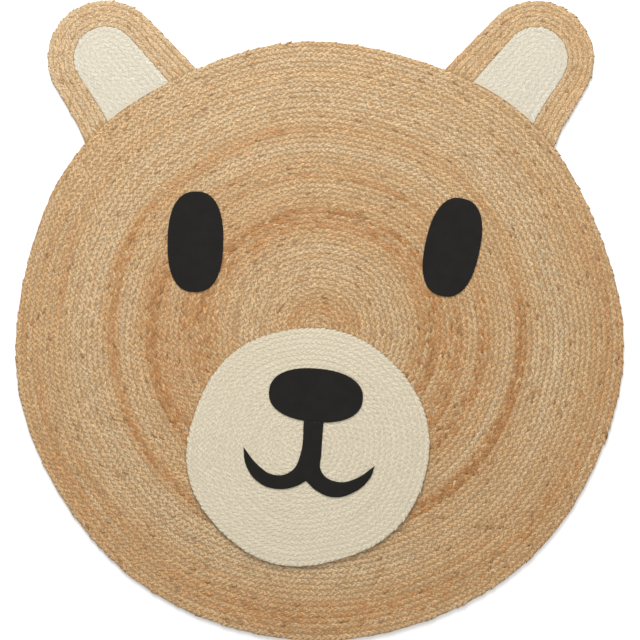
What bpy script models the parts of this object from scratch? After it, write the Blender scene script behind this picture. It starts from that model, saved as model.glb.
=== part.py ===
"""A flat rug in the shape of a bear's head, about one metre across.

The head is one jute braid wound in a spiral, each turn sewn to the one before it. Each ear is
a horseshoe of five jute rows around a tongue of cream braid. The muzzle is a second spiral, of
cream braid, sewn on top of the head. The eyes, the nose and the mouth are cut from felt.

The origin is the middle of the head, on the floor. +Y points to the ears and +Z up.
"""

import math

import bmesh
import bpy
from mathutils import Vector
from mathutils.geometry import delaunay_2d_cdt

# Sizes in metres, angles in degrees from +X
GAP = 0.0003

# Braid: one row's crest, the groove between two rows and the outer edge, above its own underside
JUTE_CREST = 0.0070
CREAM_CREST = 0.0060
GROOVE_DROP = 0.0022
EDGE_DROP = 0.0030
CHORD_ERROR = 0.0012

# Head: mean radius, where the coil starts against the rim's middle, turns of braid, the side on
# which the braid ends, and the waves of its rim, each as waves around the rim, height and the
# angle of a crest
HEAD_RADIUS = 0.4971
HEAD_START = (-0.001, 0.021)
HEAD_ROWS = 57
HEAD_END = 162.0
HEAD_RIM_POINTS = 144
HEAD_WAVES = (
    (1, 0.0016, -153.0),
    (2, 0.0037, -6.0),
    (3, 0.0009, 34.0),
    (4, 0.0018, -39.0),
    (5, 0.0008, -16.0),
    (7, 0.0019, -8.0),
    (8, 0.0020, 4.0),
)

# Muzzle, on top of the head
MUZZLE_CENTRE = (-0.0198, -0.1763)
MUZZLE_RADIUS = 0.1975
MUZZLE_START = (0.0, 0.0)
MUZZLE_ROWS = 23
MUZZLE_END = 300.0
MUZZLE_RIM_POINTS = 96
MUZZLE_WAVES = (
    (1, 0.0008, 119.0),
    (2, 0.0024, 22.0),
    (3, 0.0016, -14.0),
    (5, 0.0009, -26.0),
    (6, 0.0016, 13.0),
)

# The last part of a spiral's last turn, over which the braid's end tapers to nothing
TAPER = 0.05

# Ears: the middle of each round end, the radii of the band and the tongue, how far the band's
# outer side opens towards the head, and how far its outer foot spreads there
EAR_MIDDLES = {"left": (-0.3532, 0.4651), "right": (0.3560, 0.4642)}
EAR_RADIUS = 0.0952
EAR_INNER_RADIUS = 0.0527
EAR_FLARE = 7.0
EAR_FOOT = 0.0040
EAR_ROWS = 5
TONGUE_ROWS = 6

# Felt
FELT = 0.0020
EYES = {
    "left": {"middle": (-0.2051, 0.1626), "half": (0.0459, 0.0829), "tilt": -1.0},
    "right": {"middle": (0.2180, 0.1536), "half": (0.0449, 0.0822), "tilt": -12.4},
}
EYE_SQUARENESS = 2.45
NOSE_MIDDLE = (-0.0067, -0.0899)
NOSE_HALF = (0.0774, 0.0440)
NOSE_TILT = -5.2
NOSE_SQUARENESS = 2.3
OVAL_POINTS = 64

# The mouth's cut outline, from the stem's top right corner clockwise: x, y and whether the
# outline turns a corner there
MOUTH = (
    (0.0025, -0.1830, False),
    (0.0030, -0.2165, False),
    (0.0305, -0.2323, False),
    (0.0610, -0.2257, False),
    (0.0898, -0.2059, True),
    (0.0820, -0.2265, False),
    (0.0526, -0.2509, False),
    (0.0210, -0.2573, False),
    (-0.0060, -0.2465, False),
    (-0.0231, -0.2306, True),
    (-0.0404, -0.2397, False),
    (-0.0700, -0.2438, False),
    (-0.1003, -0.2333, False),
    (-0.1215, -0.2050, False),
    (-0.1260, -0.1746, True),
    (-0.1020, -0.2043, False),
    (-0.0760, -0.2205, False),
    (-0.0470, -0.2142, False),
    (-0.0325, -0.1880, False),
)
STEM_TOP = (-0.0267, 0.0058)

COLOURS = {
    "jute": (0.571, 0.377, 0.198),
    "cream_muzzle": (0.687, 0.617, 0.462),
    "cream_ears": (0.768, 0.730, 0.583),
    "felt": (0.023, 0.021, 0.018),
}


def clear_scene():
    for scene_object in list(bpy.data.objects):
        bpy.data.objects.remove(scene_object, do_unlink=True)


def make_material(name, colour, roughness):
    material = bpy.data.materials.new(name)
    material.use_nodes = True
    shader = material.node_tree.nodes["Principled BSDF"]
    shader.inputs["Base Color"].default_value = (*colour, 1.0)
    shader.inputs["Roughness"].default_value = roughness
    shader.inputs["Metallic"].default_value = 0.0
    return material


def rim_radius(radius, waves, degrees):
    """The distance from a panel's centre to its uneven rim."""
    return radius + sum(
        height * math.cos(math.radians(count * (degrees - crest)))
        for count, height, crest in waves
    )


def rows_to_rim(rows, turned):
    """How many rows lie between the centre and the rim, when a turn is `turned` of the way on."""
    if turned <= 1.0 - TAPER:
        return rows - 1.0 + turned
    return rows - 1.0 + (1.0 - TAPER) * (1.0 - turned) / TAPER


def spiral_line(panel, first, last, offset, height):
    """A line along the braid, `offset` rows in from the groove, as x, y, z points."""
    line = []
    row = first
    while row < last:
        turned = row % 1.0
        degrees = panel["end"] + 360.0 * turned
        outermost = rows_to_rim(panel["rows"], turned)
        own = row - offset
        if row > panel["rows"] - 1.0:
            own = row - 1.0 + (outermost - (row - 1.0)) * (1.0 - offset)
        share = own / outermost
        reach = rim_radius(panel["radius"], panel["waves"], degrees) * share
        angle = math.radians(degrees)
        x = panel["start"][0] * (1.0 - share) + reach * math.cos(angle)
        y = panel["start"][1] * (1.0 - share) + reach * math.sin(angle)
        line.append((x, y, height))
        mean_reach = panel["radius"] * max(own, 0.4) / panel["rows"]
        step = 2.0 * math.acos(max(1.0 - CHORD_ERROR / mean_reach, 0.0)) / math.tau
        row += min(step, 0.11)
    return line


def spiral_panel(panel):
    """The rim and the crest and groove lines of a panel wound from one braid."""
    crest = panel["crest"]
    rim = []
    for index in range(panel["rim_points"]):
        degrees = panel["end"] + 360.0 * index / panel["rim_points"]
        reach = rim_radius(panel["radius"], panel["waves"], degrees)
        angle = math.radians(degrees)
        rim.append((reach * math.cos(angle), reach * math.sin(angle), crest - EDGE_DROP))
    groove = spiral_line(panel, 1.0, panel["rows"] - 1.005, 0.0, crest - GROOVE_DROP)
    groove.append(rim[0])
    ridge = spiral_line(panel, 0.9, panel["rows"] - 0.02, 0.5, crest)
    return rim, [groove, ridge]


def ear_line(ear, offset, height, clearance):
    """A row's line around an ear, from the head's rim over the round end and back to the rim."""
    middle = Vector(EAR_MIDDLES[ear])
    axis = math.atan2(middle.y, middle.x)
    flare = math.radians(EAR_FLARE) * offset / EAR_RADIUS
    turns = max(4, round(offset / 0.0045))
    arc = math.pi / 2.0 - flare
    points = []
    for side in (-1.0, 1.0):
        heading = Vector((math.cos(axis + side * arc), math.sin(axis + side * arc)))
        toward = axis + math.pi - side * flare
        away = Vector((math.cos(toward), math.sin(toward)))
        start = middle + heading * offset
        outer_side = side * middle.x < 0.0
        foot = EAR_FOOT * offset / EAR_RADIUS if outer_side else 0.0
        length = leg_length(start + heading * foot, away, clearance)
        leg = [
            start + away * length * share + heading * foot * spread
            for share, spread in ((1.0, 1.0), (0.9, 0.5), (0.65, 0.1), (0.3, 0.0))
        ]
        points.append(leg)
    round_end = []
    for index in range(turns + 1):
        angle = axis - arc + 2.0 * arc * index / turns
        round_end.append(middle + offset * Vector((math.cos(angle), math.sin(angle))))
    path = points[0] + round_end + points[1][::-1]
    return [(point.x, point.y, height) for point in path]


def leg_length(start, away, clearance):
    """How far an ear's leg runs before it meets the head's rim."""
    short, long = 0.0, 0.30
    for _ in range(40):
        middle = (short + long) / 2.0
        point = start + away * middle
        degrees = math.degrees(math.atan2(point.y, point.x))
        if point.length > rim_radius(HEAD_RADIUS, HEAD_WAVES, degrees) + clearance:
            short = middle
        else:
            long = middle
    return short


def ear_band(ear):
    """The outline and the lines of the horseshoe of jute rows around one ear."""
    width = (EAR_RADIUS - EAR_INNER_RADIUS) / EAR_ROWS
    lines = []
    for index in range(2 * EAR_ROWS + 1):
        drop = EDGE_DROP if index in (0, 2 * EAR_ROWS) else GROOVE_DROP
        height = JUTE_CREST if index % 2 else JUTE_CREST - drop
        lines.append(ear_line(ear, EAR_INNER_RADIUS + width * index / 2.0, height, GAP))
    inner, outer = lines[0], lines[-1]
    foot_out = [line[-1] for line in lines[-2:0:-1]]
    foot_in = [line[0] for line in lines[1:-1]]
    outline = outer + foot_out + inner[::-1] + foot_in
    return outline, lines[1:-1]


def ear_tongue(ear):
    """The outline and the lines of the cream tongue inside one ear."""
    reach = EAR_INNER_RADIUS - GAP
    width = reach / TONGUE_ROWS
    lines = []
    for index in range(1, 2 * TONGUE_ROWS + 1):
        drop = EDGE_DROP if index == 2 * TONGUE_ROWS else GROOVE_DROP
        height = CREAM_CREST + 0.001 if index % 2 else CREAM_CREST + 0.001 - drop
        lines.append(ear_line(ear, width * index / 2.0, height, GAP))
    outer = lines[-1]
    centre = ear_line(ear, 0.0, CREAM_CREST + 0.001 - GROOVE_DROP, GAP)
    spine = centre[:4] + [centre[4]]
    foot = [line[-1] for line in lines[-2::-1]] + [spine[0]] + [line[0] for line in lines[:-1]]
    return outer + foot, lines[:-1] + [spine]


def ribbed_solid(name, outline, lines, base, location, material, collection):
    """A flat-bottomed solid whose top is drawn through the outline and the lines."""
    corners, edges, seen = [], [], {}

    def corner(point):
        key = (round(point[0], 7), round(point[1], 7))
        if key not in seen:
            seen[key] = len(corners)
            corners.append(point)
        return seen[key]

    for chain, closed in [(outline, True)] + [(line, False) for line in lines]:
        numbers = [corner(point) for point in chain]
        pairs = zip(numbers, numbers[1:] + numbers[:1]) if closed else zip(numbers, numbers[1:])
        edges.extend((a, b) for a, b in pairs if a != b)
    flat = [Vector((point[0], point[1])) for point in corners]
    points, _, faces, sources, _, _ = delaunay_2d_cdt(flat, edges, [], 1, 1e-6)

    shape = bmesh.new()
    top = []
    for point, source in zip(points, sources):
        height = corners[source[0]][2] if source else base + 0.004
        top.append(shape.verts.new((point.x, point.y, height)))
    for face in faces:
        shape.faces.new([top[index] for index in face])
    bmesh.ops.recalc_face_normals(shape, faces=shape.faces)
    if sum(face.normal.z for face in shape.faces) < 0.0:
        bmesh.ops.reverse_faces(shape, faces=shape.faces)
    border = [edge for edge in shape.edges if edge.is_boundary]
    wall = bmesh.ops.extrude_edge_only(shape, edges=border)["geom"]
    for vert in [item for item in wall if isinstance(item, bmesh.types.BMVert)]:
        vert.co.z = base
    floor_edges = [
        item for item in wall
        if isinstance(item, bmesh.types.BMEdge) and all(vert.co.z == base for vert in item.verts)
    ]
    bmesh.ops.contextual_create(shape, geom=floor_edges)
    bmesh.ops.triangulate(shape, faces=[face for face in shape.faces if len(face.verts) > 3])
    bmesh.ops.recalc_face_normals(shape, faces=shape.faces)
    mesh = bpy.data.meshes.new(name)
    shape.to_mesh(mesh)
    shape.free()
    mesh.materials.append(material)
    solid = bpy.data.objects.new(name, mesh)
    solid.location = location
    collection.objects.link(solid)
    return solid


def oval_points(half, squareness):
    """A closed oval a little squarer than an ellipse, counterclockwise from +X."""
    points = []
    for index in range(OVAL_POINTS):
        angle = math.tau * index / OVAL_POINTS
        across = math.copysign(abs(math.cos(angle)) ** (2.0 / squareness), math.cos(angle))
        along = math.copysign(abs(math.sin(angle)) ** (2.0 / squareness), math.sin(angle))
        points.append((half[0] * across, half[1] * along))
    return points


def felt_piece(name, location, tilt, material, collection):
    """A flat curve as thick as the felt, lying with its underside at the location's height."""
    curve = bpy.data.curves.new(name, "CURVE")
    curve.dimensions = "2D"
    curve.fill_mode = "BOTH"
    curve.extrude = FELT / 2.0
    curve.materials.append(material)
    piece = bpy.data.objects.new(name, curve)
    piece.location = (location[0], location[1], location[2] + FELT / 2.0)
    piece.rotation_euler.z = math.radians(tilt)
    collection.objects.link(piece)
    return piece


def felt_oval(name, location, half, tilt, squareness, material, collection):
    piece = felt_piece(name, location, tilt, material, collection)
    spline = piece.data.splines.new("POLY")
    points = oval_points(half, squareness)
    spline.points.add(len(points) - 1)
    for point, (x, y) in zip(spline.points, points):
        point.co = (x, y, 0.0, 1.0)
    spline.use_cyclic_u = True
    return piece


def nose_underside(x):
    """The height in the picture plane of the nose's lower edge at one x."""
    tilt = math.radians(NOSE_TILT)
    lowest = 0.0
    points = oval_points(NOSE_HALF, NOSE_SQUARENESS)
    turned = [
        (
            NOSE_MIDDLE[0] + px * math.cos(tilt) - py * math.sin(tilt),
            NOSE_MIDDLE[1] + px * math.sin(tilt) + py * math.cos(tilt),
        )
        for px, py in points
    ]
    for (x0, y0), (x1, y1) in zip(turned, turned[1:] + turned[:1]):
        if min(x0, x1) <= x <= max(x0, x1) and x0 != x1:
            lowest = min(lowest, y0 + (y1 - y0) * (x - x0) / (x1 - x0))
    return lowest


def felt_mouth(location, material, collection):
    """The stem and the two arcs, cut as one piece that meets the nose's lower edge."""
    left, right = STEM_TOP
    centre = (left + right) / 2.0
    top = [(x, nose_underside(x) - 2.0 * GAP) for x in (left, centre, right)]
    outline = [(top[0][0], top[0][1], True), (top[1][0], top[1][1], False), (top[2][0], top[2][1], True)]
    outline.extend(MOUTH)
    piece = felt_piece("mouth", location, 0.0, material, collection)
    piece.data.resolution_u = 4
    spline = piece.data.splines.new("BEZIER")
    spline.bezier_points.add(len(outline) - 1)
    for point, (x, y, corner) in zip(spline.bezier_points, outline):
        point.co = (x, y, 0.0)
        kind = "VECTOR" if corner else "AUTO"
        point.handle_left_type = kind
        point.handle_right_type = kind
    spline.use_cyclic_u = True
    return piece


def build():
    clear_scene()
    collection = bpy.data.collections.new("bear_head_rug")
    bpy.context.scene.collection.children.link(collection)
    jute = make_material("jute_braid", COLOURS["jute"], 0.85)
    muzzle_cream = make_material("cream_braid_muzzle", COLOURS["cream_muzzle"], 0.9)
    ear_cream = make_material("cream_braid_ears", COLOURS["cream_ears"], 0.9)
    felt = make_material("black_felt", COLOURS["felt"], 0.95)

    head = {
        "radius": HEAD_RADIUS, "start": HEAD_START, "rows": HEAD_ROWS, "end": HEAD_END,
        "waves": HEAD_WAVES, "rim_points": HEAD_RIM_POINTS, "crest": JUTE_CREST,
    }
    muzzle = {
        "radius": MUZZLE_RADIUS, "start": MUZZLE_START, "rows": MUZZLE_ROWS, "end": MUZZLE_END,
        "waves": MUZZLE_WAVES, "rim_points": MUZZLE_RIM_POINTS, "crest": CREAM_CREST,
    }
    on_head = JUTE_CREST + GAP
    on_muzzle = on_head + CREAM_CREST + GAP

    pieces = []
    outline, lines = spiral_panel(head)
    pieces.append(ribbed_solid("head", outline, lines, 0.0, (0.0, 0.0, 0.0), jute, collection))
    outline, lines = spiral_panel(muzzle)
    place = (MUZZLE_CENTRE[0], MUZZLE_CENTRE[1], on_head)
    pieces.append(ribbed_solid("muzzle", outline, lines, 0.0, place, muzzle_cream, collection))
    for ear in EAR_MIDDLES:
        outline, lines = ear_band(ear)
        name = "ear_" + ear
        pieces.append(ribbed_solid(name, outline, lines, 0.0, (0.0, 0.0, 0.0), jute, collection))
        outline, lines = ear_tongue(ear)
        name = "inner_ear_" + ear
        pieces.append(ribbed_solid(name, outline, lines, 0.0, (0.0, 0.0, 0.0), ear_cream, collection))
    for side, eye in EYES.items():
        place = (eye["middle"][0], eye["middle"][1], on_head)
        name = "eye_" + side
        pieces.append(felt_oval(name, place, eye["half"], eye["tilt"], EYE_SQUARENESS, felt, collection))
    place = (NOSE_MIDDLE[0], NOSE_MIDDLE[1], on_muzzle)
    pieces.append(felt_oval("nose", place, NOSE_HALF, NOSE_TILT, NOSE_SQUARENESS, felt, collection))
    pieces.append(felt_mouth((0.0, 0.0, on_muzzle), felt, collection))

    root = bpy.data.objects.new("bear_head_rug", None)
    collection.objects.link(root)
    for piece in pieces:
        piece.parent = root


build()
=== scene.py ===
"""Looks of a bear's-head rug sewn from flat jute and cream braid, with felt eyes, nose and mouth."""

import math

import bmesh
import bpy
import numpy as np
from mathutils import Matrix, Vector, noise
from mathutils.geometry import delaunay_2d_cdt


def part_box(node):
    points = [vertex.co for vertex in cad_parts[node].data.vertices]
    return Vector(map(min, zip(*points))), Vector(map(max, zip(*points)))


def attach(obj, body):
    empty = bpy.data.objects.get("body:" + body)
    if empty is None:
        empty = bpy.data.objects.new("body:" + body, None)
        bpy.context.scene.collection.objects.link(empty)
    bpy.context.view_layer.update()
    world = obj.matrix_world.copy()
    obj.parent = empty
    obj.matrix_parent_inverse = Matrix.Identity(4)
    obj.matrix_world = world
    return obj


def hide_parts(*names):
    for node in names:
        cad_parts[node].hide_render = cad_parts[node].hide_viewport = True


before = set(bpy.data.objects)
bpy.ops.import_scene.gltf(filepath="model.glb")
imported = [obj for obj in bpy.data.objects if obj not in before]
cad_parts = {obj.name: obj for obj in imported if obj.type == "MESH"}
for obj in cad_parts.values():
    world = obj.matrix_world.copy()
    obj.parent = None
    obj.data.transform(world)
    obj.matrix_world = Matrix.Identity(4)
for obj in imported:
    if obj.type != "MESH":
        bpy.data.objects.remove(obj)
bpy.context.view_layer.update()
HEAD_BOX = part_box("head")
MUZZLE_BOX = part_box("muzzle")
EYE_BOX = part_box("eye_left")
NOSE_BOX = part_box("nose")

bl_info = {
    "name": "Braided Bear Rug",
    "version": (1, 0, 0),
    "blender": (4, 5, 0),
    "location": "3D View > Sidebar > Rug",
    "description": "Braids a bear's-head rug from jute and cream plaits and lays it on a studio floor",
    "category": "Object",
}

# Head and muzzle: the rim's middle and mean radius, where the coil starts against that middle,
# rows to the rim, the side on which the braid ends, how high the grooves between the rows are
# filled as a share of the strands' rise, and the waves of the rim, each as waves around it,
# height and the angle of a crest
HEAD = {
    "centre": (0.0, 0.0),
    "radius": 0.4971,
    "start": (-0.001, 0.021),
    "rows": 57,
    "end": 162.0,
    "fill": 0.36,
    "waves": (
        (1, 0.0016, -153.0), (2, 0.0037, -6.0), (3, 0.0009, 34.0), (4, 0.0018, -39.0),
        (5, 0.0008, -16.0), (7, 0.0019, -8.0), (8, 0.0020, 4.0),
    ),
}
MUZZLE = {
    "centre": (-0.0198, -0.1763),
    "radius": 0.1975,
    "start": (0.0, 0.0),
    "rows": 23,
    "end": 300.0,
    "fill": 0.40,
    "waves": (
        (1, 0.0008, 119.0), (2, 0.0024, 22.0), (3, 0.0016, -14.0), (5, 0.0009, -26.0),
        (6, 0.0016, 13.0),
    ),
}
# The braid's outer end narrows over this share of a turn
TAPER = 0.05

# Ears: the middle of each round end, the outer radius of band and tongue, how far the outer side
# opens towards the head in degrees, how far its outer foot spreads there, the gap around the
# tongue, and how far the feet reach past the head's rim, between its strands
EAR_MIDDLES = {"left": (-0.3532, 0.4651), "right": (0.3560, 0.4642)}
EAR_RADIUS = 0.0952
EAR_INNER_RADIUS = 0.0527
EAR_FLARE = 7.0
EAR_FOOT = 0.0040
SEAM = 0.0003
FOOT_REACH = 0.0003

# An ear's parts: inner and outer edge, rows, how high the grooves are filled, how far from the
# head the strands stop, the step along their rows, and their distance against the usual one
BAND = {
    "inner": EAR_INNER_RADIUS,
    "outer": EAR_RADIUS,
    "rows": 5,
    "fill": 0.45,
    "clearance": 0.0045,
    "step": 0.004,
    "spacing": 0.75,
}
TONGUE = {
    "inner": 0.0,
    "outer": EAR_INNER_RADIUS - SEAM,
    "rows": 6,
    "fill": 0.40,
    "clearance": 0.0065,
    "step": 0.003,
    "spacing": 1.0,
}

# Felt: middle, half width and half height, tilt in degrees and how square the oval is
EYES = {
    "left": ((-0.2051, 0.1626), (0.0459, 0.0829), -1.0, 2.45),
    "right": ((0.2180, 0.1536), (0.0449, 0.0822), -12.4, 2.45),
}
NOSE = ((-0.0067, -0.0899), (0.0774, 0.0440), -5.2, 2.3)

# The mouth's cut outline under the nose, clockwise from below the stem's top right corner, which
# of its points are corners, where the stem's top starts and ends, and the tilt in degrees
MOUTH = (
    (0.0025, -0.1830), (0.0030, -0.2165), (0.0305, -0.2323), (0.0610, -0.2257),
    (0.0898, -0.2059), (0.0820, -0.2265), (0.0526, -0.2509), (0.0210, -0.2573),
    (-0.0060, -0.2465), (-0.0231, -0.2306), (-0.0404, -0.2397), (-0.0700, -0.2438),
    (-0.1003, -0.2333), (-0.1215, -0.2050), (-0.1260, -0.1746), (-0.1020, -0.2043),
    (-0.0760, -0.2205), (-0.0470, -0.2142), (-0.0325, -0.1880),
)
MOUTH_CORNERS = (4, 9, 14)
STEM_TOP = (-0.0267, 0.0058)
MOUTH_TILT = -7.0

# Where batches of yarn differ in the head: distance from the middle of the bands, half width,
# the angle of a band's middle, half its length in degrees, and how rusty it is, or how pale and
# straw-like if negative
BAND_MIDDLE = (0.0, 0.012)
BANDS = (
    (0.195, 0.030, -5.0, 45.0, 0.50),
    (0.222, 0.030, 170.0, 45.0, 0.45),
    (0.279, 0.017, 172.0, 34.0, 0.20),
    (0.335, 0.010, -42.0, 28.0, 0.60),
    (0.347, 0.010, 40.0, 30.0, 0.35),
    (0.385, 0.034, -48.0, 42.0, 0.62),
    (0.046, 0.016, 90.0, 95.0, 0.45),
    (0.119, 0.038, 90.0, 180.0, -0.45),
    (0.185, 0.018, 85.0, 140.0, 0.70),
    (0.203, 0.006, 100.0, 85.0, 0.95),
    (0.231, 0.010, -25.0, 45.0, 0.80),
    (0.260, 0.006, 80.0, 55.0, 0.80),
    (0.268, 0.008, -22.0, 45.0, 1.10),
    (0.277, 0.013, 190.0, 52.0, 1.20),
    (0.308, 0.013, 85.0, 55.0, -0.75),
    (0.316, 0.010, 190.0, 50.0, -0.50),
    (0.311, 0.008, -25.0, 45.0, -0.60),
    (0.333, 0.010, -30.0, 56.0, 1.40),
    (0.347, 0.009, 190.0, 65.0, 1.00),
    (0.338, 0.009, 90.0, 55.0, 0.45),
    (0.388, 0.030, 0.0, 200.0, -0.85),
    (0.458, 0.026, 90.0, 60.0, -0.60),
    (0.474, 0.030, -45.0, 75.0, 0.38),
    (0.474, 0.030, 235.0, 60.0, 0.20),
)

# Over how many degrees a band's ends fade, and how many half widths from its middle it stops
BAND_FADE = 30.0
BAND_REACH = 2.2

# The ears' braids are straw-coloured, the left one more so
EAR_WARMTH = {"left": -0.8, "right": -0.25}

# One visible strand of a plait, from the row's edge to its dip past the middle: where its
# trailing and its leading side lie, each along the row and to the side, and how high it lies
STRAND = (
    ((-0.0091, 0.0043), (-0.0006, 0.0046), 0.25),
    ((-0.0080, 0.0032), (0.0008, 0.0038), 0.80),
    ((-0.0058, 0.0012), (0.0030, 0.0023), 1.00),
    ((-0.0033, -0.0005), (0.0052, 0.0009), 0.95),
    ((-0.0005, -0.0019), (0.0066, -0.0005), 0.70),
    ((0.0052, -0.0029), (0.0052, -0.0029), 0.30),
)
# Its rounded section: the way across it and the share of its height there
STRAND_ARC = ((0.0, 0.0), (0.28, 0.95), (0.72, 0.95), (1.0, 0.0))
# How much a strand may lie off its place, be turned, and differ in size
STRAND_SHIFT = 0.0005
STRAND_SWING = math.radians(9.0)
STRAND_SPREAD = 0.10

# Around a rim the strands stand on edge: their tilt in degrees, the height of their middle over
# the floor, their width and distance against the usual ones, and how far from the head the ears'
# strands stop
RIM_TILT = 80.0
RIM_MIDDLE = 0.0038
RIM_WIDTH = 0.75
RIM_SPACING = 1.5
RIM_CLEARANCE = 0.004

# The slab under the strands: how far its rim lies inside the strands' outer side as a share of
# their rise, how far below the grooves as a share of its thickness, the rim's corners, the step
# along its rows, and how deep and how steep the grooves on its underside are
BASE_INSET = 0.4
BASE_DROP = 0.03
BASE_CORNERS = 240
BASE_STEP = 0.02
UNDERSIDE_GROOVE = 0.0010
UNDERSIDE_SLOPE = 8.0

# The step along the head's and muzzle's rows, and how far inside the muzzle's rim they are hidden
ROW_STEP = 0.004
HIDDEN_MARGIN = 0.015

# Boxes that strands are picked from: the end of the piece's name, the lowest and highest corner
WHOLE = (("", (-2.0, -2.0, -1.0), (2.0, 2.0, 1.0)),)
QUARTERS = (
    ("_back_left", (-2.0, 0.0, -1.0), (0.0, 2.0, 1.0)),
    ("_back_right", (0.0, 0.0, -1.0), (2.0, 2.0, 1.0)),
    ("_front_left", (-2.0, -2.0, -1.0), (0.0, 0.0, 1.0)),
    ("_front_right", (0.0, -2.0, -1.0), (2.0, 0.0, 1.0)),
)

# Felt: how far its edge is rounded inwards and down, the distance between the points of its face,
# how far they keep from the edge, how far the face sinks, how much rows and lumps show in it, and
# how many lumps lie side by side in a metre
FELT_ROUND = 0.0006
FELT_DROP = 0.0007
FELT_STEP = 0.0029
FELT_MARGIN = 0.0019
FELT_SINK = 0.00025
FELT_WAVE = 0.00012
FELT_LUMPS = 60.0

# Yarn: how much fibres, with the painted glints and shadows of fine flecks, and strands differ in
# brightness, how dark bark and the rustiest strands are, and how strongly the fibres stand out
JUTE_YARN = {
    "fibre_and_painted_light_contrast": 0.42,
    "tone_spread": 0.05,
    "bark_shade": 0.45,
    "rust_shade": 0.70,
    "relief": 0.45,
}
CREAM_YARN = {
    "fibre_and_painted_light_contrast": 0.18,
    "tone_spread": 0.02,
    "bark_shade": 0.97,
    "rust_shade": 1.0,
    "relief": 0.2,
}

# The picture: its width at the jute's top, the height of that top, the point that it centres on,
# and how far the floor lies under the rug
VIEW_WIDTH = 1.0543
JUTE_TOP = 0.007
VIEW_MIDDLE = (0.0, 0.0338)
FLOOR_GAP = 0.0002


def linear(hex_colour):
    """An sRGB hex colour as the linear values that a shader reads."""
    values = []
    for index in (1, 3, 5):
        share = int(hex_colour[index:index + 2], 16) / 255.0
        values.append(share / 12.92 if share <= 0.04045 else ((share + 0.055) / 1.055) ** 2.4)
    return tuple(values)


def colour_setting(name, hex_colour, description):
    return bpy.props.FloatVectorProperty(
        name=name, description=description, subtype="COLOR", size=3, min=0.0, max=1.0,
        default=linear(hex_colour),
    )


def length_setting(name, metres, description):
    return bpy.props.FloatProperty(
        name=name, description=description, default=metres, min=0.0, unit="LENGTH", subtype="DISTANCE",
        precision=4,
    )


class RugPlaitSettings(bpy.types.PropertyGroup):
    stitch: length_setting("Stitch", 0.0045, "Distance along a row from one strand's bulge to the next")
    jute_rise: length_setting("Jute relief", 0.0012, "Height of the jute strands above their base")
    muzzle_rise: length_setting("Muzzle relief", 0.0007, "Height of the muzzle's strands above their base")
    ear_rise: length_setting("Tongue relief", 0.0004, "Height of the ear tongues' strands above their base")
    unevenness: bpy.props.FloatProperty(
        name="Unevenness", description="How much the strands differ in turn and size",
        default=1.0, min=0.0, max=3.0,
    )
    seed: bpy.props.IntProperty(name="Seed", description="Which way the unevenness falls", default=7, min=0)


class RugColourSettings(bpy.types.PropertyGroup):
    jute: colour_setting("Jute", "#ae8e66", "Main tan of the jute")
    jute_straw: colour_setting("Straw jute", "#b19977", "Paler, straw-coloured lengths of the jute")
    jute_rust: colour_setting("Rusty jute", "#a3713f", "Rusty lengths of the jute")
    # Jute core and cream core colour the grooves between the strands; their material darkens them as painted
    # shade
    jute_core: colour_setting("Jute core", "#a4845d", "Shaded jute under the strands")
    cream: colour_setting("Muzzle cream", "#c0b6a0", "Cream braid of the muzzle")
    cream_ear: colour_setting("Ear cream", "#bab5a6", "Cream braid of the ears")
    cream_core: colour_setting("Cream core", "#c0b6a1", "Shaded cream braid under the strands")
    felt: colour_setting("Felt", "#1b1a18", "Black felt")
    floor: colour_setting("Floor", "#f7f7f6", "Studio floor")


# Shapes of the panels


def sides_of(outline):
    """The pairs of neighbouring points around a closed outline."""
    return zip(outline, outline[1:] + outline[:1])


def polar(x, y, centre):
    """The distance and the direction in degrees of a place from a centre."""
    dx, dy = x - centre[0], y - centre[1]
    return math.hypot(dx, dy), math.degrees(math.atan2(dy, dx))


def rim_radius(panel, degrees):
    """The distance from a panel's centre to its uneven rim."""
    return panel["radius"] + sum(
        height * math.cos(math.radians(count * (degrees - crest)))
        for count, height, crest in panel["waves"]
    )


def rows_to_rim(rows, turned):
    """How many rows lie between the centre and the rim, `turned` of a turn past the braid's end."""
    if turned <= 1.0 - TAPER:
        return rows - 1.0 + turned
    return rows - 1.0 + (1.0 - TAPER) * (1.0 - turned) / TAPER


def spiral_place(panel, row, across):
    """A point in a row of the spiral, `across` of the way from its outer groove to its inner one.

    Gives x, y, the row's width there against the usual width, and its distance from the start.
    """
    turned = row % 1.0
    outermost = rows_to_rim(panel["rows"], turned)
    wide = outermost - (row - 1.0) if row > panel["rows"] - 1.0 else 1.0
    own = row - 1.0 + wide * (1.0 - across)
    share = own / outermost
    degrees = panel["end"] + 360.0 * turned
    rim = rim_radius(panel, degrees)
    angle = math.radians(degrees)
    ahead, aside = math.cos(angle), math.sin(angle)
    x = panel["centre"][0] + panel["start"][0] * (1.0 - share) + rim * share * ahead
    y = panel["centre"][1] + panel["start"][1] * (1.0 - share) + rim * share * aside
    spread = rim - panel["start"][0] * ahead - panel["start"][1] * aside
    return x, y, wide * spread / outermost * panel["rows"] / panel["radius"], rim * share


def spiral_run(panel, first, last, across, step):
    """Points along a spiral row with their width, `step` metres or 0.08 of a turn apart."""
    run = []
    row = first
    while row < last:
        x, y, wide, reach = spiral_place(panel, row, across)
        run.append((x, y, wide))
        row += min(step / (math.tau * max(reach, 0.002)), 0.08)
    return run


def rim_run(panel, inset, count):
    """Points just inside a panel's rim with their width, counterclockwise and closed."""
    run = []
    for index in range(count + 1):
        degrees = panel["end"] + 360.0 * index / count
        reach = rim_radius(panel, degrees) - inset
        angle = math.radians(degrees)
        x = panel["centre"][0] + reach * math.cos(angle)
        y = panel["centre"][1] + reach * math.sin(angle)
        run.append((x, y, RIM_WIDTH))
    return run


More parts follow.
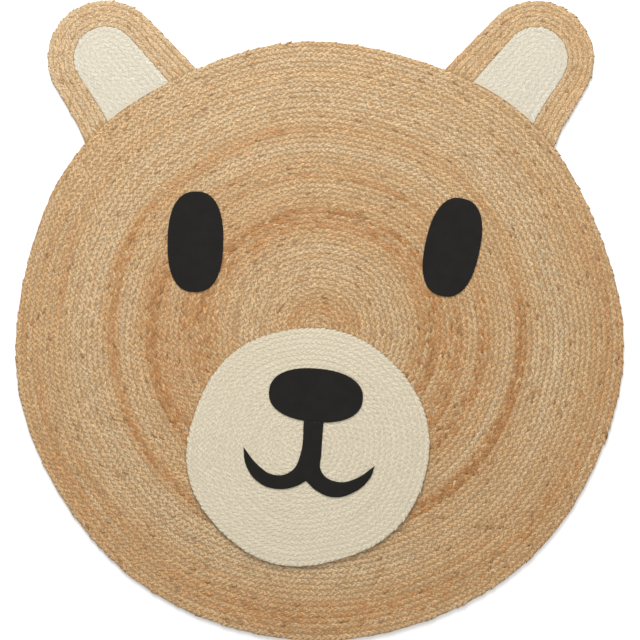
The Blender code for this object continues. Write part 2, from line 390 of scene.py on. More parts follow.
def leg_length(start, away, clearance):
    """How far an ear's leg runs before it meets the head's rim, by halving the range."""
    short, long = 0.0, 0.30
    for _ in range(40):
        middle = (short + long) / 2.0
        point = start + away * middle
        degrees = math.degrees(math.atan2(point.y, point.x))
        if point.length > rim_radius(HEAD, degrees) + clearance:
            short = middle
        else:
            long = middle
    return short


def ear_run(ear, offset, clearance, step):
    """Points along one row of an ear with their width, from the head round the end and back."""
    middle = Vector(EAR_MIDDLES[ear])
    axis = math.atan2(middle.y, middle.x)
    flare = math.radians(EAR_FLARE) * offset / EAR_RADIUS
    arc = math.pi / 2.0 - flare
    legs = []
    for side in (-1.0, 1.0):
        heading = Vector((math.cos(axis + side * arc), math.sin(axis + side * arc)))
        toward = axis + math.pi - side * flare
        away = Vector((math.cos(toward), math.sin(toward)))
        start = middle + heading * offset
        foot = EAR_FOOT * offset / EAR_RADIUS if side * middle.x < 0.0 else 0.0
        length = leg_length(start + heading * foot, away, clearance)
        leg = []
        count = max(4, round(length / step))
        for index in range(count):
            share = 1.0 - index / count
            # The foot spreads over the last 40 % of the leg
            spread = max(0.0, (share - 0.6) / 0.4) ** 2
            point = start + away * length * share + heading * foot * spread
            wide = 1.0 + length * share * math.radians(EAR_FLARE) / EAR_RADIUS
            leg.append((point.x, point.y, wide if offset < EAR_INNER_RADIUS else 1.0))
        legs.append(leg)
    round_end = []
    count = max(6, round(2.0 * arc * offset / step))
    for index in range(count + 1):
        angle = axis - arc + 2.0 * arc * index / count
        round_end.append((middle.x + offset * math.cos(angle), middle.y + offset * math.sin(angle), 1.0))
    return legs[0] + round_end + legs[1][::-1]


# Meshes


def link(scene_object):
    bpy.context.scene.collection.objects.link(scene_object)
    return scene_object


def mesh_of(shape, name, material):
    """The bmesh as a mesh with one material."""
    mesh = bpy.data.meshes.new(name)
    shape.to_mesh(mesh)
    shape.free()
    mesh.materials.append(material)
    return mesh


def evaluated_mesh(scene_object):
    """A curve, or an object with its modifiers applied, as a plain mesh."""
    bpy.context.view_layer.update()
    evaluated = scene_object.evaluated_get(bpy.context.evaluated_depsgraph_get())
    return bpy.data.meshes.new_from_object(evaluated)


def values_of(items, title, kind, width):
    """One property of all items of a mesh, a row for each item."""
    values = np.empty(len(items) * width, dtype=kind)
    items.foreach_get(title, values)
    return values.reshape(-1, width)


def add_bake_map(mesh, keep_underside):
    """Lays the mesh out as seen from above, its underside as large beside it or in a corner."""
    corners = values_of(mesh.loops, "vertex_index", np.int32, 1).ravel()
    flat = values_of(mesh.vertices, "co", np.float32, 3)[:, :2]
    upward = values_of(mesh.polygons, "normal", np.float32, 3)[:, 2]
    sides = values_of(mesh.polygons, "loop_total", np.int32, 1).ravel()
    low = flat.min(axis=0)
    extent = float((flat.max(axis=0) - low).max())
    spots = ((flat - low) / extent)[corners]
    under = np.repeat(upward < -0.5, sides)
    # Top and underside in opposite quarters, or the underside in the lower left margin
    if keep_underside:
        spots = spots * 0.48 + 0.01
        spots[under] += (0.5, 0.5)
    else:
        spots = spots * 0.97 + 0.02
        spots[under] = spots[under] * 0.01 + 0.002
    layer = mesh.uv_layers.new(name="OFBake")
    layer.data.foreach_set("uv", spots.astype(np.float32).ravel())


def drawn_solid(name, outline, lines, base, depth, material, loose=()):
    """A solid whose top passes through the outline, the lines and the loose points.

    Its underside rests at base, with the top's grooves again, at most depth deep. Its sides and
    underside are flat-shaded, so that those shallow grooves show.
    """
    corners, edges, seen = [], [], {}

    def corner(point):
        key = (round(point[0], 6), round(point[1], 6))
        if key not in seen:
            seen[key] = len(corners)
            corners.append(point)
        return seen[key]

    for chain, closed in [(outline, True)] + [(line, False) for line in lines]:
        numbers = [corner(point) for point in chain]
        following = numbers[1:] + numbers[:1] if closed else numbers[1:]
        edges.extend((a, b) for a, b in zip(numbers, following) if a != b)
    for point in loose:
        corner(point)
    flat = [Vector((point[0], point[1])) for point in corners]
    points, _, faces, sources, _, _ = delaunay_2d_cdt(flat, edges, [], 1, 1e-6)

    shape = bmesh.new()
    top = []
    for point, source in zip(points, sources):
        height = corners[source[0]][2] if source else outline[0][2]
        top.append(shape.verts.new((point.x, point.y, height)))
    for face in faces:
        shape.faces.new([top[index] for index in face])
    loose_verts = [vert for vert in shape.verts if not vert.link_faces]
    bmesh.ops.delete(shape, geom=loose_verts, context="VERTS")
    border = [edge for edge in shape.edges if edge.is_boundary]
    for edge in border:
        edge.smooth = False
    upper = list(shape.verts)
    peak = max(vert.co.z for vert in upper)
    twins = bmesh.ops.duplicate(shape, geom=upper + list(shape.edges) + list(shape.faces))["vert_map"]
    for vert in upper:
        twins[vert].co.z = base + min(depth, UNDERSIDE_SLOPE * (peak - vert.co.z))
    for edge in border:
        first, second = edge.verts
        shape.faces.new((first, second, twins[second], twins[first]))
    bmesh.ops.recalc_face_normals(shape, faces=shape.faces)
    for face in shape.faces:
        face.smooth = face.normal.z > 0.5
    mesh = mesh_of(shape, name, material)
    add_bake_map(mesh, True)
    return link(bpy.data.objects.new(name, mesh))


def strand_piece(name, side, rise, material):
    """One strand of a plait where it shows: from the row's edge over the middle and down.

    side is 1 for strands from the row's left edge and -1 for those from its right.
    """
    shape = bmesh.new()
    fibre = shape.loops.layers.uv.new("fibre")
    spots = {}
    rings = []
    for number, (trailing, leading, high) in enumerate(STRAND):
        share = number / (len(STRAND) - 1)
        ring = []
        for across, lift in STRAND_ARC if trailing != leading else ((0.5, 0.5),):
            x, y = Vector(trailing).lerp(Vector(leading), across)
            vert = shape.verts.new((x, side * y, rise * high * lift))
            spots[vert] = (share, across)
            ring.append(vert)
        rings.append(ring)
    for before, after in zip(rings, rings[1:]):
        for index in range(len(before) - 1):
            beyond = after[index:index + 2][::-1] if len(after) > 1 else after
            shape.faces.new([before[index], before[index + 1]] + beyond).smooth = True
    bmesh.ops.contextual_create(shape, geom=[edge for edge in shape.edges if edge.is_boundary])
    bmesh.ops.triangulate(shape, faces=shape.faces)
    bmesh.ops.recalc_face_normals(shape, faces=shape.faces)
    for face in shape.faces:
        for loop in face.loops:
            loop[fibre].uv = spots[loop.vert]
    return bpy.data.objects.new(name, mesh_of(shape, name, material))


def path_object(name, runs, height, warmth=None, hidden=None):
    """The rows' middle lines as edges, with their width, warmth and whether they show."""
    places, edges, wide, warm, shown = [], [], [], [], []
    for run in runs:
        first = len(places)
        for x, y, width in run:
            places.append((x, y, height))
            wide.append(width)
            warm.append(warmth(x, y) if warmth else 0.0)
            shown.append(0.0 if hidden and hidden(x, y) else 1.0)
        edges.extend((i, i + 1) for i in range(first, len(places) - 1))
    mesh = bpy.data.meshes.new(name)
    mesh.from_pydata(places, edges, [])
    for title, values in (("wide", wide), ("warm", warm), ("shown", shown)):
        mesh.attributes.new(title, "FLOAT", "POINT").data.foreach_set("value", values)
    return link(bpy.data.objects.new(name, mesh))


# Nodes


def add_node(tree, kind, sockets=None, **settings):
    """Adds a node, sets its properties, and sets or links its input sockets."""
    node = tree.nodes.new(kind)
    for title, value in settings.items():
        setattr(node, title, value)
    for title, value in (sockets or {}).items():
        socket = node.inputs[title]
        if isinstance(value, bpy.types.NodeSocket):
            tree.links.new(value, socket)
        else:
            socket.default_value = value
    return node


def math_value(tree, operation, first, second=0.0):
    return add_node(tree, "ShaderNodeMath", {0: first, 1: second}, operation=operation).outputs[0]


def times(tree, first, second):
    return math_value(tree, "MULTIPLY", first, second)


def vector_of(tree, x=0.0, y=0.0, z=0.0):
    return add_node(tree, "ShaderNodeCombineXYZ", {"X": x, "Y": y, "Z": z}).outputs[0]


def random_value(tree, low, high, seed):
    return add_node(tree, "FunctionNodeRandomValue", {2: low, 3: high, "Seed": seed}).outputs[1]


def stored_value(tree, name):
    return add_node(tree, "GeometryNodeInputNamedAttribute", {"Name": name}).outputs[0]


def both(tree, first, second):
    return add_node(tree, "FunctionNodeBooleanMath", {0: first, 1: second}, operation="AND").outputs[0]


def plait_tree(name):
    """Geometry Nodes that lay strands along each row, left and right in turn."""
    tree = bpy.data.node_groups.new(name, "GeometryNodeTree")
    for title, kind in (
        ("Rows", "Geometry"), ("Stitch", "Float"), ("Left Strand", "Object"), ("Right Strand", "Object"),
        ("Tilt", "Float"), ("Unevenness", "Float"), ("Low Corner", "Vector"), ("High Corner", "Vector"),
        ("Seed", "Int"), ("Material", "Material"),
    ):
        tree.interface.new_socket(title, in_out="INPUT", socket_type="NodeSocket" + kind)
    tree.interface.new_socket("Plait", in_out="OUTPUT", socket_type="NodeSocketGeometry")
    given = tree.nodes.new("NodeGroupInput").outputs
    seed = given["Seed"]

    # A point for each strand, with what its material reads
    curve = add_node(tree, "GeometryNodeMeshToCurve", {"Mesh": given["Rows"]}).outputs[0]
    steps = {"Curve": curve, "Length": given["Stitch"]}
    points = add_node(tree, "GeometryNodeCurveToPoints", steps, mode="LENGTH").outputs
    index = add_node(tree, "GeometryNodeInputIndex").outputs[0]
    kept = points["Points"]
    for title, value in (
        ("run", times(tree, index, given["Stitch"])),
        ("strand", math_value(tree, "MODULO", index, 3.0)),
        ("tone", random_value(tree, 0.0, 1.0, seed)),
    ):
        sockets = {"Geometry": kept, "Name": title, "Value": value}
        kept = add_node(tree, "GeometryNodeStoreNamedAttribute", sockets).outputs[0]

    most = times(tree, given["Unevenness"], STRAND_SHIFT)
    least = times(tree, most, -1.0)
    sockets = {0: vector_of(tree, least, least), 1: vector_of(tree, most, most), "Seed": seed}
    shift = add_node(tree, "FunctionNodeRandomValue", sockets, data_type="FLOAT_VECTOR").outputs[0]
    kept = add_node(tree, "GeometryNodeSetPosition", {"Geometry": kept, "Offset": shift}).outputs[0]

    # Only the points that show and lie between the two corners
    place = add_node(tree, "GeometryNodeInputPosition").outputs[0]
    shown = stored_value(tree, "shown")
    picked = add_node(tree, "FunctionNodeCompare", {0: shown, 1: 0.5}, operation="GREATER_THAN").outputs[0]
    for operation, corner in (("GREATER_EQUAL", "Low Corner"), ("LESS_THAN", "High Corner")):
        within = add_node(
            tree, "FunctionNodeCompare", {4: place, 5: given[corner]},
            data_type="VECTOR", mode="ELEMENT", operation=operation,
        )
        picked = both(tree, picked, within.outputs[0])

    # Each strand follows its row, swung and sized a little by chance
    heading = add_node(
        tree, "FunctionNodeAlignRotationToVector", {"Vector": points["Tangent"]}, axis="X", pivot_axis="Z"
    )
    swing = times(tree, given["Unevenness"], STRAND_SWING)
    turn = random_value(tree, times(tree, swing, -1.0), swing, seed)
    lean = add_node(tree, "FunctionNodeEulerToRotation", {0: vector_of(tree, given["Tilt"], 0.0, turn)})
    sockets = {"Rotation": heading.outputs[0], "Rotate By": lean.outputs[0]}
    facing = add_node(tree, "FunctionNodeRotateRotation", sockets, rotation_space="LOCAL").outputs[0]
    spread = times(tree, given["Unevenness"], STRAND_SPREAD)
    least, most = math_value(tree, "SUBTRACT", 1.0, spread), math_value(tree, "ADD", 1.0, spread)
    size = random_value(tree, least, most, seed)
    wide = stored_value(tree, "wide")
    high = times(tree, math_value(tree, "MINIMUM", wide, 1.0), size)
    scale = vector_of(tree, size, times(tree, wide, size), high)

    side = math_value(tree, "MODULO", index, 2.0)
    laid = add_node(tree, "GeometryNodeJoinGeometry")
    for title, number in (("Left Strand", 0.0), ("Right Strand", 1.0)):
        source = add_node(tree, "GeometryNodeObjectInfo", {"Object": given[title]})
        sockets = {0: side, 1: number, "Epsilon": 0.1}
        own = add_node(tree, "FunctionNodeCompare", sockets, operation="EQUAL").outputs[0]
        sockets = {
            "Points": kept, "Selection": both(tree, picked, own), "Instance": source.outputs["Geometry"],
            "Rotation": facing, "Scale": scale,
        }
        strands = add_node(tree, "GeometryNodeInstanceOnPoints", sockets)
        tree.links.new(strands.outputs[0], laid.inputs[0])
    real = add_node(tree, "GeometryNodeRealizeInstances", {0: laid.outputs[0]})
    sockets = {"Geometry": real.outputs[0], "Material": given["Material"]}
    finished = add_node(tree, "GeometryNodeSetMaterial", sockets)
    add_node(tree, "NodeGroupOutput", {0: finished.outputs[0]})
    return tree


def plait_piece(name, path, tree, settings):
    """The plait along a path as a plain mesh."""
    modifier = path.modifiers.new("plait", "NODES")
    modifier.node_group = tree
    sockets = {
        item.name: item.identifier for item in tree.interface.items_tree
        if item.item_type == "SOCKET" and item.in_out == "INPUT"
    }
    for title, value in settings.items():
        modifier[sockets[title]] = value
    mesh = evaluated_mesh(path)
    path.modifiers.remove(modifier)
    if not mesh.polygons:
        raise RuntimeError(name + " has no strands")
    mesh.name = name
    add_bake_map(mesh, False)
    return link(bpy.data.objects.new(name, mesh))


# Materials


def new_material(name, roughness, specular, sheen=0.0):
    """A Principled material with the finish that is the same all over the surface."""
    material = bpy.data.materials.new(name)
    material.use_nodes = True
    shader = material.node_tree.nodes["Principled BSDF"]
    shader.inputs["Roughness"].default_value = roughness
    shader.inputs["Specular IOR Level"].default_value = specular
    shader.inputs["Sheen Weight"].default_value = sheen
    return material, material.node_tree


def surfaced(material, colour, height=None, strength=0.0, distance=0.0):
    """The material with its colour and, where a height is given, its bump."""
    tree = material.node_tree
    shader = tree.nodes["Principled BSDF"]
    tree.links.new(colour, shader.inputs["Base Color"])
    if height:
        sockets = {"Strength": strength, "Distance": distance, "Height": height}
        tree.links.new(add_node(tree, "ShaderNodeBump", sockets).outputs[0], shader.inputs["Normal"])
    return material


def shared(name, maker, *values):
    """A material or node tree that is made once and used again."""
    return bpy.data.materials.get(name) or bpy.data.node_groups.get(name) or maker(name, *values)


def object_place(tree):
    return add_node(tree, "ShaderNodeTexCoord").outputs["Object"]


def noise_value(tree, vector, scale, detail):
    sockets = {"Vector": vector, "Scale": scale, "Detail": detail, "Roughness": 0.6}
    return add_node(tree, "ShaderNodeTexNoise", sockets).outputs["Fac"]


def mixed(tree, share, first, second, blend="MIX"):
    """Two colours mixed by a share, each a socket or a fixed colour."""
    node = add_node(tree, "ShaderNodeMix", {0: share}, data_type="RGBA", blend_type=blend)
    for number, value in ((6, first), (7, second)):
        if isinstance(value, bpy.types.NodeSocket):
            tree.links.new(value, node.inputs[number])
        else:
            node.inputs[number].default_value = (*value, 1.0)
    return node.outputs[2]


def ranged(tree, value, low, high, least=0.0, most=1.0):
    """A value between low and high turned into one between least and most, and held there."""
    sockets = {"Value": value, "From Min": low, "From Max": high, "To Min": least, "To Max": most}
    return add_node(tree, "ShaderNodeMapRange", sockets).outputs[0]


def plaited_material(name, main, straw, rust, yarn):
    """Plaited plant fibre: long colour changes along the braid, fine fibres along each strand."""
    material, tree = new_material(name, 0.55, 0.35)
    read = {
        title: add_node(tree, "ShaderNodeAttribute", attribute_name=title).outputs["Fac"]
        for title in ("run", "strand", "tone", "warm")
    }
    tone = read["tone"]
    # Fibres lie along the strand in bundles about a millimetre wide
    spot = add_node(tree, "ShaderNodeUVMap", uv_map="fibre").outputs[0]
    along, across, _ = add_node(tree, "ShaderNodeSeparateXYZ", {0: spot}).outputs
    fibre_place = vector_of(tree, times(tree, along, 2.5), times(tree, across, 7.0), times(tree, tone, 37.0))
    fibres = noise_value(tree, fibre_place, 1.0, 4.0)
    # A few strands hold a dark brown scrap of bark
    bark = times(tree, ranged(tree, tone, 0.968, 0.978), ranged(tree, fibres, 0.44, 0.54))

    # Batches of yarn change along the braid, a little differently in each of its strands
    batch_place = vector_of(tree, read["run"], times(tree, read["strand"], 0.1))
    batch = ranged(tree, noise_value(tree, batch_place, 4.0, 4.0), 0.3, 0.7, -0.9, 0.9)
    short = ranged(tree, noise_value(tree, batch_place, 40.0, 3.0), 0.35, 0.65, -0.2, 2.2)
    own_dye = math_value(tree, "FRACT", times(tree, tone, 7.3))
    dyed = times(tree, short, ranged(tree, own_dye, 0.0, 1.0, 0.5, 1.8))
    warmth = math_value(tree, "ADD", times(tree, read["warm"], dyed), batch)
    warmth = math_value(tree, "ADD", warmth, times(tree, bark, 1.5))
    colour = mixed(tree, ranged(tree, times(tree, warmth, -1.0), 0.0, 1.0), main, straw)
    colour = mixed(tree, ranged(tree, warmth, 0.0, 1.3), colour, rust)

    # Bark and the rustiest strands are dark, and the yarn is uneven: paler and darker lengths of a row,
    # strands and fibres; the flecks over neighbours are painted glints and painted shadows between loops
    shade = ranged(tree, bark, 0.0, 1.0, 1.0, yarn["bark_shade"])
    shade = times(tree, shade, ranged(tree, warmth, 0.9, 2.6, 1.0, yarn["rust_shade"]))
    contrast = yarn["fibre_and_painted_light_contrast"]
    for value, low, high, spread in (
        (noise_value(tree, batch_place, 7.0, 3.0), 0.3, 0.7, 0.3 * contrast),
        (tone, 0.0, 1.0, yarn["tone_spread"]),
        (fibres, 0.3, 0.7, contrast),
        # Painted glints and shadows: millimetre flecks, lighter and darker, over neighbouring strands
        (noise_value(tree, object_place(tree), 550.0, 1.0), 0.32, 0.68, 0.8 * contrast),
    ):
        shade = times(tree, shade, ranged(tree, value, low, high, 1.0 - spread, 1.0 + spread))
    colour = mixed(tree, 1.0, colour, vector_of(tree, shade, shade, shade), "MULTIPLY")
    return surfaced(material, colour, fibres, yarn["relief"], 0.0004)


def cream_material(name, colour):
    """Bleached braid: the same plait, with hardly any change of colour."""
    straw = [0.97 * colour[0], 0.97 * colour[1], 0.93 * colour[2]]
    deep = [0.95 * colour[0], 0.93 * colour[1], 0.88 * colour[2]]
    return plaited_material(name, colour, straw, deep, CREAM_YARN)


def core_material(name, colour, shaded):
    """The plait's lower strands, seen only in the grooves: matte and rough, with painted shade, a copy
    darkened by `shaded` mixed in by grain.
    """
    material, tree = new_material(name, 0.9, 0.2)
    grain = noise_value(tree, object_place(tree), 650.0, 3.0)
    dark = [shaded * value for value in colour]
    return surfaced(material, mixed(tree, ranged(tree, grain, 0.35, 0.65), dark, colour), grain, 0.6, 0.0006)


def felt_material(name, colour):
    """Pressed wool felt, black: no weave, a short nap, and a few paler hairs."""
    material, tree = new_material(name, 0.95, 0.15, 0.12)
    place = object_place(tree)
    nap = noise_value(tree, place, 1400.0, 3.0)
    cloud = noise_value(tree, place, 45.0, 3.0)
    dark = [0.8 * value for value in colour]
    pale = [min(1.0, 2.2 * value) for value in colour]
    base = mixed(tree, ranged(tree, cloud, 0.35, 0.65), dark, colour)
    return surfaced(material, mixed(tree, ranged(tree, nap, 0.62, 0.85), base, pale), nap, 0.35, 0.0003)


def floor_material(name, colour):
    """A seamless matte studio floor, painted almost white."""
    material, tree = new_material(name, 0.9, 0.2)
    wear = noise_value(tree, object_place(tree), 3.0, 2.0)
    return surfaced(material, mixed(tree, wear, [0.985 * value for value in colour], colour))


# Pieces


def band_warmth(x, y):
    """How rusty, or if negative how pale, the yarn is at a place on the head."""
    reach, degrees = polar(x, y, BAND_MIDDLE)
    total = 0.0
    for radius, half_width, middle, half_length, warmth in BANDS:
        away = abs((degrees - middle + 180.0) % 360.0 - 180.0)
        side = abs(reach - radius) / half_width
        end = min(1.0, (half_length - away) / BAND_FADE)
        if side < BAND_REACH and end > 0.0:
            total += warmth * end * math.exp(-(side ** 2))
    return total


def under_muzzle(x, y):
    """True where the head's rows are hidden well under the muzzle."""
    reach, degrees = polar(x, y, MUZZLE["centre"])
    return reach < rim_radius(MUZZLE, degrees) - HIDDEN_MARGIN


def panel_heights(box, rise, fill):
    """The underside, the base's grooves and crests, and the foot of the strands of a panel."""
    floor, top = box[0][2], box[1][2]
    foot = top - rise
    return floor, foot + fill * rise, foot + (fill + 0.1) * rise, foot


def spiral_base(name, panel, inset, heights, material):
    """The body of a spiral panel: a closed slab with a rib under and over each row."""
    floor, groove, crest, _ = heights
    edge = groove - BASE_DROP * (groove - floor)
    rim = [(x, y, edge) for x, y, _ in rim_run(panel, inset, BASE_CORNERS)[:-1]]
    # The grooves and ridges stop where the last row has narrowed too far
    last = panel["rows"] - 1.0
    grooves = [(x, y, groove) for x, y, _ in spiral_run(panel, 1.0, last - 0.03, 0.0, BASE_STEP)]
    ridge = [(x, y, crest) for x, y, _ in spiral_run(panel, 0.9, last + 0.93, 0.5, BASE_STEP)]
    return drawn_solid(name, rim, [grooves, ridge], floor, UNDERSIDE_GROOVE, material)


def declare(base, others, node):
    """Binds a panel's pieces to the frame: they replace its node, which is hidden."""
    for piece in [base] + others:
        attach(piece, "root")
        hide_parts(node)


def lay_strands(name, path, plait, rise, material, spacing=1.0, tilt=0.0, rooms=WHOLE):
    """Lays strands along a path from both edges, or tilted ones from one edge around a rim.

    Gives a piece for each room, and removes the path.
    """
    from_right = strand_piece(name + "_from_right", -1.0, rise, material)
    from_left = from_right if tilt else strand_piece(name + "_from_left", 1.0, rise, material)
    settings = {
        "Stitch": plait.stitch * spacing, "Left Strand": from_left, "Right Strand": from_right,
        "Tilt": math.radians(tilt), "Unevenness": plait.unevenness, "Seed": plait.seed,
        "Material": material,
    }
    tree = shared("Plait along rows", plait_tree)
    pieces = []
    for ending, low, high in rooms:
        corners = {"Low Corner": low, "High Corner": high}
        pieces.append(plait_piece(name + ending, path, tree, {**settings, **corners}))
    bpy.data.objects.remove(path)
    return pieces


def plait_spiral(plait, node, panel, box, rise, slot, core, braid, rooms=WHOLE, warmth=None, hidden=None):
    """Makes a round panel: its slab, and strands along its spiral and around its rim."""
    heights = panel_heights(box, rise, panel["fill"])
    base = spiral_base(node + "_base", panel, BASE_INSET * rise, heights, core)
    rows = spiral_run(panel, 0.85, panel["rows"] - 0.01, 0.5, ROW_STEP)
    path = path_object(node + "_rows", [rows], heights[3], warmth, hidden)
    pieces = lay_strands(node + "_braid", path, plait, rise, braid, rooms=rooms)
    around = rim_run(panel, rise, round(math.tau * panel["radius"] / ROW_STEP))
    path = path_object(node + "_rim", [around], heights[0] + RIM_MIDDLE, warmth)
    pieces += lay_strands(node + "_braid_rim", path, plait, rise, braid, RIM_SPACING, RIM_TILT)
    declare(base, pieces, node)


def plait_ear_part(plait, ear, node, part, rise, slot, core, braid, warmth=None):
    """Makes the band or the tongue of an ear: its slab, and strands along its rows.

    The band has strands around its outer side too. The tongue's slab is closed in the middle.
    """
    floor, groove, crest, foot = panel_heights(HEAD_BOX, rise, part["fill"])
    width = (part["outer"] - part["inner"]) / part["rows"]
    is_band = part["inner"] > 0.0
    lines = []
    for index in range(0 if is_band else 1, 2 * part["rows"] + 1):
        inset = BASE_INSET * rise if is_band and index == 2 * part["rows"] else 0.0
        offset = part["inner"] + width * index / 2.0 - inset
        height = crest if index % 2 else groove
        lines.append([(x, y, height) for x, y, _ in ear_run(ear, offset, -FOOT_REACH, BASE_STEP)])
    outer = lines.pop()
    hole = lines.pop(0)[::-1] if is_band else []
    outline = outer + [line[-1] for line in lines[::-1]] + hole + [line[0] for line in lines]
    base = drawn_solid(node + "_base", outline, lines, floor, UNDERSIDE_GROOVE, core)

    runs = [
        ear_run(ear, part["inner"] + width * (index + 0.5), part["clearance"], part["step"])
        for index in range(part["rows"])
    ]
    path = path_object(node + "_rows", runs, foot, warmth)
    pieces = lay_strands(node + "_braid", path, plait, rise, braid, part["spacing"])
    if is_band:
        around = ear_run(ear, part["outer"] - rise, RIM_CLEARANCE, part["step"])
        around = [(x, y, RIM_WIDTH) for x, y, _ in around]
        path = path_object(node + "_rim", [around], floor + RIM_MIDDLE, warmth)
        pieces += lay_strands(node + "_braid_rim", path, plait, rise, braid, RIM_SPACING, RIM_TILT)
    declare(base, pieces, node)


def jute_materials(colours):
    return (
        shared("Jute core", core_material, colours.jute_core, 0.75),
        shared(
            "Plaited jute", plaited_material, colours.jute, colours.jute_straw, colours.jute_rust, JUTE_YARN
        ),
    )


def cream_materials(colours, name, colour):
    return (
        shared("Cream core", core_material, colours.cream_core, 0.92),
        shared(name, cream_material, colour),
    )


class RUG_OT_head(bpy.types.Operator):
    """Plait the round head from one jute braid in a spiral"""

    bl_idname = "rug.head"
    bl_label = "Head"

    def execute(self, context):
        plait, colours = context.scene.rug_plait, context.scene.rug_colours
        plait_spiral(
            plait, "head", HEAD, HEAD_BOX, plait.jute_rise, "jute_braid", *jute_materials(colours),
            rooms=QUARTERS, warmth=band_warmth, hidden=under_muzzle,
        )
        return {"FINISHED"}


class RUG_OT_muzzle(bpy.types.Operator):
    """Plait the cream muzzle that is sewn on top of the head"""

    bl_idname = "rug.muzzle"
    bl_label = "Muzzle"

    def execute(self, context):
        plait, colours = context.scene.rug_plait, context.scene.rug_colours
        creams = cream_materials(colours, "Plaited bleached jute", colours.cream)
        plait_spiral(
            plait, "muzzle", MUZZLE, MUZZLE_BOX, plait.muzzle_rise, "cream_braid_muzzle", *creams
        )
        return {"FINISHED"}


class RUG_OT_ears(bpy.types.Operator):
    """Plait both ears: a jute horseshoe around a cream tongue"""

    bl_idname = "rug.ears"
    bl_label = "Ears"

    def execute(self, context):
        plait, colours = context.scene.rug_plait, context.scene.rug_colours
        jutes = jute_materials(colours)
        creams = cream_materials(colours, "Plaited pale bleached jute", colours.cream_ear)
        for ear in EAR_MIDDLES:
            plait_ear_part(
                plait, ear, "ear_" + ear, BAND, plait.jute_rise, "jute_braid", *jutes,
                warmth=lambda x, y: EAR_WARMTH[ear],
            )
            plait_ear_part(
                plait, ear, "inner_ear_" + ear, TONGUE, plait.ear_rise, "cream_braid_ears", *creams
            )
        return {"FINISHED"}


def oval_outline(middle, half, tilt, squareness, count=144):
    """A closed oval a little squarer than an ellipse, counterclockwise."""
    turn = math.radians(tilt)
    points = []
    for index in range(count):
        angle = math.tau * index / count
        across, along = [
            math.copysign(abs(value) ** (2.0 / squareness), value) * reach
            for value, reach in zip((math.cos(angle), math.sin(angle)), half)
        ]
        x = middle[0] + across * math.cos(turn) - along * math.sin(turn)
        y = middle[1] + across * math.sin(turn) + along * math.cos(turn)
        points.append((x, y))
    return points


def mouth_outline():
    """The cut outline of the stem and the two arcs, meeting the nose's lower edge."""
    nose = oval_outline(*NOSE, count=64)
    points = []
    for x in (STEM_TOP[0], sum(STEM_TOP) / 2.0, STEM_TOP[1]):
        lowest = 0.0
        for (x0, y0), (x1, y1) in sides_of(nose):
            if min(x0, x1) <= x <= max(x0, x1) and x0 != x1:
                lowest = min(lowest, y0 + (y1 - y0) * (x - x0) / (x1 - x0))
        points.append((x, lowest - SEAM, x in STEM_TOP))
    points += [(x, y, index in MOUTH_CORNERS) for index, (x, y) in enumerate(MOUTH)]
    curve = bpy.data.curves.new("mouth_cut", "CURVE")
    curve.dimensions = "2D"
    curve.fill_mode = "NONE"
    curve.resolution_u = 8
    spline = curve.splines.new("BEZIER")
    spline.bezier_points.add(len(points) - 1)
    for point, (x, y, corner) in zip(spline.bezier_points, points):
        point.co = (x, y, 0.0)
        point.handle_left_type = point.handle_right_type = "VECTOR" if corner else "AUTO"
    spline.use_cyclic_u = True
    holder = link(bpy.data.objects.new("mouth_cut", curve))
    places = [(vert.co.x, vert.co.y) for vert in evaluated_mesh(holder).vertices]
    bpy.data.objects.remove(holder)
    return places[::-1]


def inside(outline, x, y):
    """True if a place lies inside a closed outline."""
    found = False
    for (x0, y0), (x1, y1) in sides_of(outline):
        if (y0 > y) != (y1 > y) and x < x0 + (x1 - x0) * (y - y0) / (y1 - y0):
            found = not found
    return found


def felt_solid(name, outline, floor, top, rows, material):
    """A cut felt piece: crisp edge, softened rim, and the rows under it showing faintly."""
    pitch = rows["radius"] / rows["rows"]

    def height(x, y):
        rib = math.cos(math.tau * polar(x, y, rows["centre"])[0] / pitch)
        lump = noise.noise(Vector((x * FELT_LUMPS, y * FELT_LUMPS, floor * 100.0)))
        return top - FELT_SINK + FELT_WAVE * (rib + lump)

    loose = []
    before, after = outline[-1:] + outline[:-1], outline[1:] + outline[:1]
    for (x0, y0), (x, y), (x1, y1) in zip(before, outline, after):
        normal = Vector((y0 - y1, x1 - x0)).normalized()
        x, y = x + normal.x * FELT_ROUND, y + normal.y * FELT_ROUND
        if inside(outline, x, y):
            loose.append((x, y, height(x, y)))
    xs, ys = [x for x, _ in outline], [y for _, y in outline]
    for i in range(int((max(xs) - min(xs)) / FELT_STEP) + 1):
        for j in range(int((max(ys) - min(ys)) / FELT_STEP) + 1):
            x, y = min(xs) + (i + 0.5 * (j % 2)) * FELT_STEP, min(ys) + j * FELT_STEP
            near = min((x - a) ** 2 + (y - b) ** 2 for a, b in outline)
            if near > FELT_MARGIN ** 2 and inside(outline, x, y):
                loose.append((x, y, height(x, y)))
    edge = [(x, y, top - FELT_DROP) for x, y in outline]
    return drawn_solid(name, edge, [], floor, 0.0, material, loose)


class RUG_OT_face(bpy.types.Operator):
    """Cut the eyes, the nose and the mouth from black felt"""

    bl_idname = "rug.face"
    bl_label = "Eyes, nose and mouth"

    def execute(self, context):
        felt = felt_material("Pressed wool felt", context.scene.rug_colours.felt)
        cuts = [("eye_" + side, oval_outline(*eye), eye[2], EYE_BOX, HEAD) for side, eye in EYES.items()]
        cuts.append(("nose", oval_outline(*NOSE), NOSE[2], NOSE_BOX, MUZZLE))
        cuts.append(("mouth", mouth_outline(), MOUTH_TILT, NOSE_BOX, MUZZLE))
        for node, outline, tilt, box, rows in cuts:
            piece = felt_solid(node + "_felt", outline, box[0][2], box[1][2], rows, felt)
            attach(piece, "root")
            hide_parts(node)
        return {"FINISHED"}


def area_light(name, place, aim, size, power, colour):
    light = bpy.data.lights.new(name, "AREA")
    light.shape = "SQUARE"
    light.size = size
    light.energy = power
    light.color = colour
    lamp = link(bpy.data.objects.new(name, light))
    lamp.location = place
    lamp.rotation_euler = (Vector(aim) - Vector(place)).to_track_quat("-Z", "Y").to_euler()


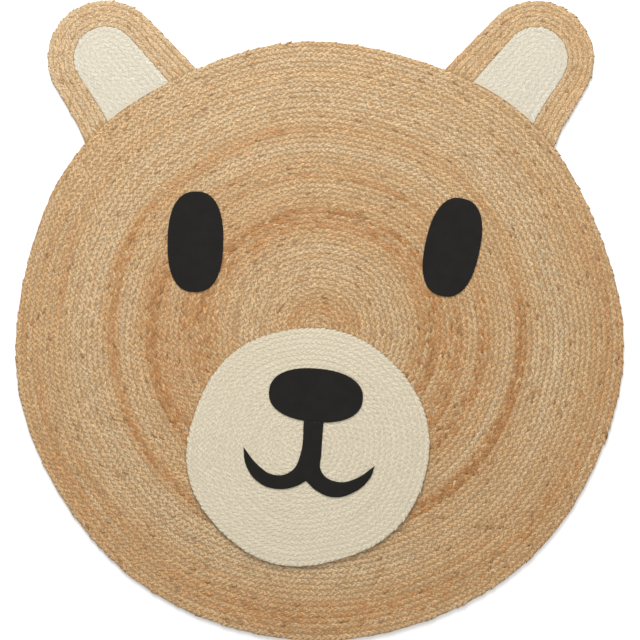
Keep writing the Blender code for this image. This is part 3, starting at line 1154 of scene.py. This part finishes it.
class RUG_OT_stage(bpy.types.Operator):
    """Lay the floor and set the lights and the camera"""

    bl_idname = "rug.stage"
    bl_label = "Floor, lights and camera"

    def execute(self, context):
        shape = bmesh.new()
        bmesh.ops.create_grid(shape, x_segments=1, y_segments=1, size=6.0)
        bmesh.ops.translate(shape, verts=shape.verts, vec=(0.0, 0.0, -FLOOR_GAP))
        paint = floor_material("Matte white studio floor", context.scene.rug_colours.floor)
        floor = mesh_of(shape, "studio_floor", paint)
        link(bpy.data.objects.new("studio_floor", floor))

        area_light("window", (-0.4, 2.4, 2.0), (0.0, 0.2, 0.0), 1.6, 92.0, (1.0, 0.985, 0.96))
        area_light("ceiling", (0.3, 0.5, 3.6), (0.0, 0.0, 0.0), 3.0, 60.0, (1.0, 1.0, 1.0))
        world = bpy.data.worlds.new("studio")
        world.use_nodes = True
        sky = world.node_tree.nodes["Background"].inputs
        sky["Color"].default_value = (1.0, 1.0, 1.0, 1.0)
        sky["Strength"].default_value = 0.48
        context.scene.world = world
        context.scene.view_settings.view_transform = "Standard"

        lens = bpy.data.cameras.new("camera")
        lens.lens = 100.0
        lens.sensor_width = 36.0
        lens.clip_end = 50.0
        camera = link(bpy.data.objects.new("camera", lens))
        camera.location = (*VIEW_MIDDLE, VIEW_WIDTH * lens.lens / lens.sensor_width + JUTE_TOP)
        context.scene.camera = camera
        return {"FINISHED"}


class RUG_PT_panel(bpy.types.Panel):
    bl_idname = "RUG_PT_panel"
    bl_label = "Braided Bear Rug"
    bl_space_type = "VIEW_3D"
    bl_region_type = "UI"
    bl_category = "Rug"

    def draw(self, context):
        layout = self.layout
        for settings in (context.scene.rug_plait, context.scene.rug_colours):
            for title in settings.bl_rna.properties.keys():
                if title not in ("rna_type", "name"):
                    layout.prop(settings, title)
        for operator in OPERATORS:
            layout.operator(operator.bl_idname)


SETTINGS = (RugPlaitSettings, RugColourSettings)
OPERATORS = (RUG_OT_head, RUG_OT_ears, RUG_OT_muzzle, RUG_OT_face, RUG_OT_stage)


def register():
    for item in SETTINGS + OPERATORS + (RUG_PT_panel,):
        bpy.utils.register_class(item)
    bpy.types.Scene.rug_plait = bpy.props.PointerProperty(type=RugPlaitSettings)
    bpy.types.Scene.rug_colours = bpy.props.PointerProperty(type=RugColourSettings)


def unregister():
    del bpy.types.Scene.rug_colours
    del bpy.types.Scene.rug_plait
    for item in (RUG_PT_panel,) + OPERATORS[::-1] + SETTINGS[::-1]:
        bpy.utils.unregister_class(item)


def main():
    register()
    bpy.ops.rug.head()
    bpy.ops.rug.ears()
    bpy.ops.rug.muzzle()
    bpy.ops.rug.face()
    bpy.ops.rug.stage()
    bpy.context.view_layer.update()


if __name__ == "__main__":
    main()
